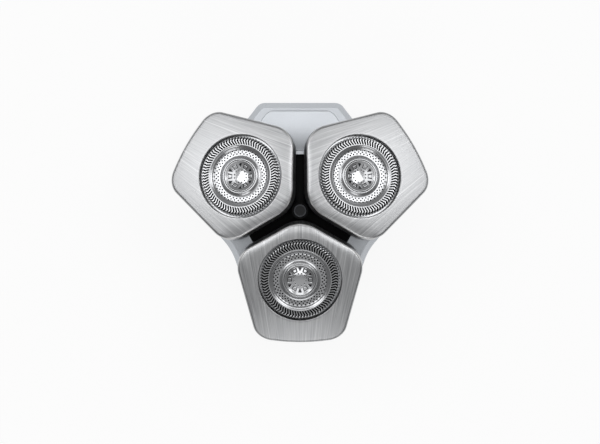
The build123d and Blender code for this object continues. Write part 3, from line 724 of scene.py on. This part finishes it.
# Natural acetal, moulded: milky and smooth
acetal = grained_finish("natural_acetal_moulded", "#e6e2d6", "#ded9cb", 0.36, 0.4, 0.006)
# Silver lacquer sprayed on ABS: a satin sheen from flakes too fine to show, drawn as a faint grit
silver_lacquer = grained_finish(
    "silver_lacquer_on_abs", "#c0c4c9", "#c6cacf", 0.3, 0.12, 0.001, metallic=0.7, spread=0.03,
)
# Nitrile rubber, moulded: black and dull
seal_rubber = grained_finish("nitrile_rubber_moulded", "#171718", "#1d1d1e", 0.7, 0.3, 0.01)
# Zinc plated on steel: cool grey with a faint mottle
zinc = grained_finish("zinc_plated_steel", "#a7a9ab", "#9b9d9f", 0.38, 0.3, 0.004, metallic=1.0)
# Spring wire, drawn: bright, a little streaked
spring_wire = grained_finish("drawn_spring_wire", "#b9bbbe", "#a9abae", 0.3, 0.2, 0.003, metallic=1.0)

for node, material in {
    "trim_frame": silver_lacquer,
    "chassis": black_abs,
    "centre_cap": rubbed_cap("dark_gloss_abs_rubbed"),
    "hair_chamber": base_abs,
    "gear_cover": base_abs,
    "shaft_seal": seal_rubber,
    "cover_screws": zinc,
    "drive_gear": acetal,
}.items():
    dress(node, material)

make_panel(silver_lacquer)

for side in HEAD_ANGLES:
    guard_steel = ground_steel(f"ground_stainless_{side}", side, "#b0b1b3", 0.22, 0.25)
    disc_steel = etched_steel(side)
    # Painted shade: the cutter steel is coloured near black so that the slots look dark over it,
    # standing in for their shade
    painted_shade_cutter_steel = ground_steel(f"shade_darkened_cutter_steel_{side}", side, "#161718", 0.42, 0.3)
    for node, material in {
        "carrier": black_abs,
        "retaining_ring": black_abs,
        "cutter": painted_shade_cutter_steel,
        "cutter_hub": hub_nylon,
        "spindle_gear": acetal,
        "drive_spindle": hub_nylon,
        "spindle_spring": spring_wire,
    }.items():
        dress(f"{node}_{side}", material)
    make_cover(side, brushed_aluminium(side))
    make_guard(side, guard_steel)
    make_disc(side, disc_steel)


FLOOR_REACH, FLOOR_HEIGHT = 3.0, -0.05 * MM
FLOOR_GLOW = 0.9  # share of plain white where it is seen or mirrored; the rest keeps the shadow


def make_floor():
    """Pale floor just under the collar, white to the eye and in the metal."""
    mesh = bpy.data.meshes.new("floor")
    corners = [(x * FLOOR_REACH, y * FLOOR_REACH) for x, y in ((-1, -1), (1, -1), (1, 1), (-1, 1))]
    mesh.from_pydata([(x, y, FLOOR_HEIGHT) for x, y in corners], [], [(0, 1, 2, 3)])
    material, tree, skin = new_material("matt_white_board", "#f6f6f6", 0.0, 0.9)
    path = add_node(tree, "ShaderNodeLightPath")
    glow = add_node(tree, "ShaderNodeEmission", {"Color": (1, 1, 1, 1), "Strength": 1.0})
    seen = path.outputs["Is Camera Ray"]
    for ray in ("Is Glossy Ray", "Is Transmission Ray"):
        seen = add_node(
            tree, "ShaderNodeMath", {0: seen, 1: path.outputs[ray]}, operation="MAXIMUM",
        ).outputs[0]
    share = add_node(
        tree, "ShaderNodeMath", {0: seen, 1: FLOOR_GLOW}, operation="MULTIPLY",
    ).outputs[0]
    board = add_node(
        tree, "ShaderNodeMixShader",
        {0: share, 1: skin.outputs["BSDF"], 2: glow.outputs["Emission"]},
    )
    tree.links.new(board.outputs["Shader"], tree.nodes["Material Output"].inputs["Surface"])
    mesh.materials.append(material)
    floor = bpy.data.objects.new("floor", mesh)
    bpy.context.scene.collection.objects.link(floor)


# Place, width and depth in metres, and power
SOFTBOXES = {
    "overhead_softbox": ((0.0, 0.25, 1.05), (0.4, 0.6), 0.85),
    "left_softbox": ((-0.6, 0.32, 0.95), (0.56, 0.56), 2.5),
    "right_softbox": ((0.6, 0.32, 0.95), (0.56, 0.56), 2.5),
    "front_softbox": ((0.0, -0.9, 0.75), (0.6, 0.4), 1.5),
}
LAMP_AIM = Vector((0, 0, 0.03))
# The room is dark up to a height on the sky's ball, and light from another
WALL_TOP, CEILING_FROM = 0.75, 0.9
WALL_LEVEL, CEILING_LEVEL = 0.28, 0.6
BACK_GAIN = 0.1  # by which the back is lighter, and the front darker


def add_softbox(name, place, size, power):
    """A soft lamp turned to the object."""
    lamp = bpy.data.lights.new(name, "AREA")
    lamp.shape = "RECTANGLE"
    lamp.size, lamp.size_y = size
    lamp.energy = power
    box = bpy.data.objects.new(name, lamp)
    box.location = place
    box.rotation_euler = (LAMP_AIM - Vector(place)).to_track_quat("-Z", "Y").to_euler()
    box.visible_camera = False
    bpy.context.scene.collection.objects.link(box)


def light_room():
    """Softboxes overhead, on each side and in front, in a grey room with dark walls."""
    for name, lamp in SOFTBOXES.items():
        add_softbox(name, *lamp)
    world = bpy.data.worlds.new("grey_room")
    bpy.context.scene.world = world
    world.use_nodes = True
    tree = world.node_tree
    back = tree.nodes["Background"]
    back.inputs["Color"].default_value = linear("#ffffff")
    way = add_node(tree, "ShaderNodeTexCoord").outputs["Generated"]
    axes = add_node(tree, "ShaderNodeSeparateXYZ", {0: way})
    wall = add_node(
        tree, "ShaderNodeMapRange",
        {0: axes.outputs["Z"], 1: WALL_TOP, 2: CEILING_FROM, 3: WALL_LEVEL, 4: CEILING_LEVEL},
    ).outputs[0]
    level = add_node(
        tree, "ShaderNodeMath",
        {0: axes.outputs["Y"], 1: BACK_GAIN, 2: wall}, operation="MULTIPLY_ADD",
    ).outputs[0]
    tree.links.new(level, back.inputs["Strength"])


def place_camera():
    """Camera straight above, framed as the photograph is."""
    data = bpy.data.cameras.new("camera")
    data.sensor_width = SENSOR
    data.lens = SENSOR * (CAMERA_HEIGHT - GUARD_TOP) / (IMAGE_WIDTH * PIXEL)
    camera = bpy.data.objects.new("camera", data)
    camera.location = (0, -AXIS_ABOVE_CENTRE, CAMERA_HEIGHT)
    bpy.context.scene.collection.objects.link(camera)
    bpy.context.scene.camera = camera


make_floor()
light_room()
place_camera()
bpy.context.scene.view_settings.view_transform = "Standard"
